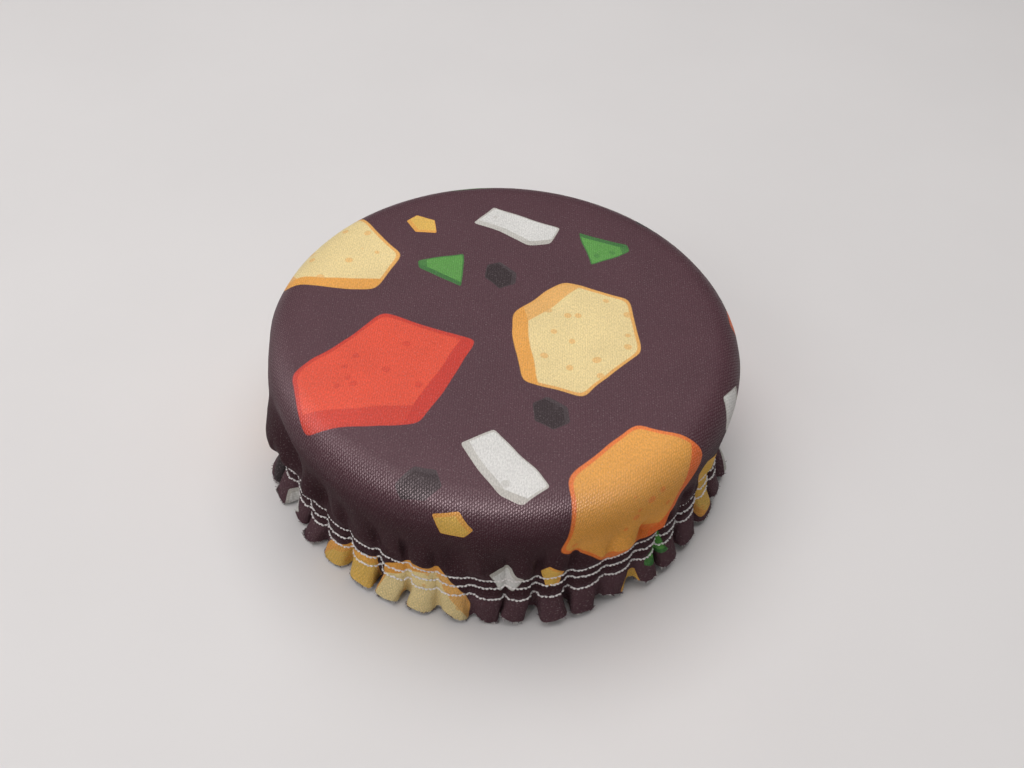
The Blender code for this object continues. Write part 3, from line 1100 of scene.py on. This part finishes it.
class COVER_OT_elastic(bpy.types.Operator):
    """Turn the ribbed elastic band inside the skirt"""

    bl_idname = "cover.elastic"
    bl_label = "Elastic band"

    def execute(self, context):
        shape = context.scene.cover_shape
        sewing = context.scene.cover_sewing
        drape = DrapedCloth(shape)
        tall = drape.band_bottom - drape.band_top
        middle = drape.top - (drape.band_bottom + drape.band_top) / 2
        wall = sewing.elastic_thickness
        centre = BAND_OUTSIDE - wall / 2
        rib = tall / (2 * sewing.ribs)
        bpy.ops.object.select_all(action="DESELECT")
        bpy.ops.mesh.primitive_plane_add(
            size=1.0, location=(centre, 0.0, middle), rotation=(math.pi / 2, 0.0, 0.0)
        )
        band = context.object
        band.name = "woven_band"
        band.scale = (wall * (1 - 2 * RIB), tall, 1.0)
        settle(band)
        bpy.ops.object.mode_set(mode="EDIT")
        select_edges(band.data, lambda edge: abs(edge.verts[0].co.z - edge.verts[1].co.z) > tall / 2)
        bpy.ops.mesh.subdivide(number_cuts=2 * sewing.ribs - 1)
        for side in (-1, 1):
            select_vertices(
                band.data,
                lambda vertex: round((vertex.co.z - middle + tall / 2) / rib) % 2 == 1
                and (vertex.co.x - centre) * side > 0,
            )
            bpy.ops.transform.translate(value=(side * wall * RIB, 0.0, 0.0))
        select_edges(band.data, lambda edge: len(edge.link_faces) == 2)
        bpy.ops.mesh.delete(type="EDGE")
        bpy.ops.mesh.select_all(action="SELECT")
        bpy.ops.mesh.spin(steps=BAND_STEPS, angle=math.tau, center=(0.0, 0.0, 0.0), axis=(0.0, 0.0, 1.0))
        bpy.ops.mesh.select_all(action="SELECT")
        bpy.ops.mesh.remove_doubles(threshold=0.00001)
        bpy.ops.mesh.normals_make_consistent(inside=False)
        bpy.ops.object.mode_set(mode="OBJECT")
        for vertex in band.data.vertices:
            angle = math.atan2(vertex.co.y, vertex.co.x)
            vertex.co.z -= shape.tilt * math.cos(angle - shape.tilt_direction)
        bpy.ops.object.shade_smooth()
        band.data.materials.append(woven_elastic(sewing))
        finish_piece(band, "elastic", "elastic_band")
        return {"FINISHED"}


class COVER_OT_fray(bpy.types.Operator):
    """Pull loose fibres from the ruffle's cut edge"""

    bl_idname = "cover.fray"
    bl_label = "Frayed edge"

    def execute(self, context):
        shape = context.scene.cover_shape
        sewing = context.scene.cover_sewing
        drape = DrapedCloth(shape)
        draw = random.Random(shape.seed + 3)
        bpy.ops.object.select_all(action="DESELECT")
        bpy.ops.mesh.primitive_cone_add(
            vertices=3, radius1=0.00015, radius2=0.00006, depth=1.0, location=(0, 0, 0.5)
        )
        fibre = context.object
        settle(fibre)
        matrices = []
        radius = drape.mean_radius(drape.hem)
        for _ in range(sewing.fray_count):
            gather = draw.uniform(0, shape.gathers)
            pair = drape.place([gather, gather + 0.01], drape.hem, radius)
            base, beside = (Vector(point) for point in pair)
            along = (beside - base).normalized()
            out = along.cross(Vector((0.0, 0.0, 1.0)))
            away = out * draw.uniform(-0.2, 1.0) + along * draw.uniform(-0.9, 0.9)
            away.z = draw.uniform(-0.6, 0.4) if base.z > 0.0015 else draw.uniform(0.0, 0.5)
            base = base - out * draw.uniform(0.0, shape.cloth)
            base.z += 0.0003
            tall = sewing.fray * draw.uniform(0.3, 1.0)
            turn = away.to_track_quat("Z", "Y").to_matrix().to_4x4()
            matrices.append(Matrix.Translation(base) @ turn @ Matrix.Diagonal((1.0, 1.0, tall, 1.0)))
        fray = joined("frayed_edge", fibre, matrices, loose_fibres(context.scene.cover_print))
        bpy.data.objects.remove(fibre)
        finish_piece(fray, "thread")
        return {"FINISHED"}


class COVER_OT_stage(bpy.types.Operator):
    """Set the pale floor, the soft light and the camera"""

    bl_idname = "cover.stage"
    bl_label = "Stage"

    def execute(self, context):
        scene = context.scene
        stage = scene.cover_stage
        bpy.ops.object.select_all(action="DESELECT")
        bpy.ops.mesh.primitive_plane_add(size=8.0, location=(0.0, 0.0, 0.0))
        floor = context.object
        floor.name = "floor"
        floor.data.materials.append(plain_floor(stage))
        for name, size, place, full in LAMPS:
            lamp = self.lamp(name, getattr(stage, name), size, place)
            lamp.visible_diffuse = full
        world = bpy.data.worlds.new("air")
        world.use_nodes = True
        background = world.node_tree.nodes["Background"]
        background.inputs["Color"].default_value = (1.0, 1.0, 1.0, 1.0)
        background.inputs["Strength"].default_value = stage.air
        scene.world = world
        camera = bpy.data.cameras.new("camera")
        camera.sensor_width = 36.0
        camera.lens = stage.lens
        camera.clip_start = 0.01
        eye = bpy.data.objects.new("camera", camera)
        scene.collection.objects.link(eye)
        eye.location = Vector(stage.camera_place) + Vector((0.0, 0.0, COVER_TOP))
        eye.rotation_mode = "ZYX"
        eye.rotation_euler = (math.pi / 2 - stage.pitch, 0.0, stage.roll)
        scene.camera = eye
        scene.view_settings.view_transform = "Standard"
        return {"FINISHED"}

    def lamp(self, name, power, size, place):
        """A soft light aimed at the cover."""
        data = bpy.data.lights.new(name, "AREA")
        data.energy = power
        data.shape = "RECTANGLE"
        data.size, data.size_y = size
        lamp = bpy.data.objects.new(name, data)
        lamp.location = place
        aim = Vector((0.0, 0.0, COVER_TOP)) - lamp.location
        lamp.rotation_euler = aim.to_track_quat("-Z", "Y").to_euler()
        bpy.context.scene.collection.objects.link(lamp)
        return lamp


class COVER_PT_panel(bpy.types.Panel):
    """Steps of making the cover"""

    bl_idname = "COVER_PT_panel"
    bl_label = "Bowl cover"
    bl_space_type = "VIEW_3D"
    bl_region_type = "UI"
    bl_category = "Cover"

    def draw(self, context):
        for step in STEPS:
            self.layout.operator(step.bl_idname)


GROUPS = {
    "cover_shape": COVER_PG_shape,
    "cover_print": COVER_PG_print,
    "cover_sewing": COVER_PG_sewing,
    "cover_stage": COVER_PG_stage,
}
STEPS = (COVER_OT_cloth, COVER_OT_elastic, COVER_OT_stitches, COVER_OT_fray, COVER_OT_stage)


def register():
    """Make the sizes, the steps and the panel known."""
    for kind in (*GROUPS.values(), *STEPS, COVER_PT_panel):
        bpy.utils.register_class(kind)
    for name, group in GROUPS.items():
        setattr(bpy.types.Scene, name, bpy.props.PointerProperty(type=group))


def unregister():
    """Take them away again."""
    for name in GROUPS:
        delattr(bpy.types.Scene, name)
    for kind in reversed((*GROUPS.values(), *STEPS, COVER_PT_panel)):
        bpy.utils.unregister_class(kind)


def main():
    """Make the cover step by step."""
    register()
    bpy.ops.cover.cloth()
    bpy.ops.cover.elastic()
    bpy.ops.cover.stitches()
    bpy.ops.cover.fray()
    bpy.ops.cover.stage()


if __name__ == "__main__":
    main()
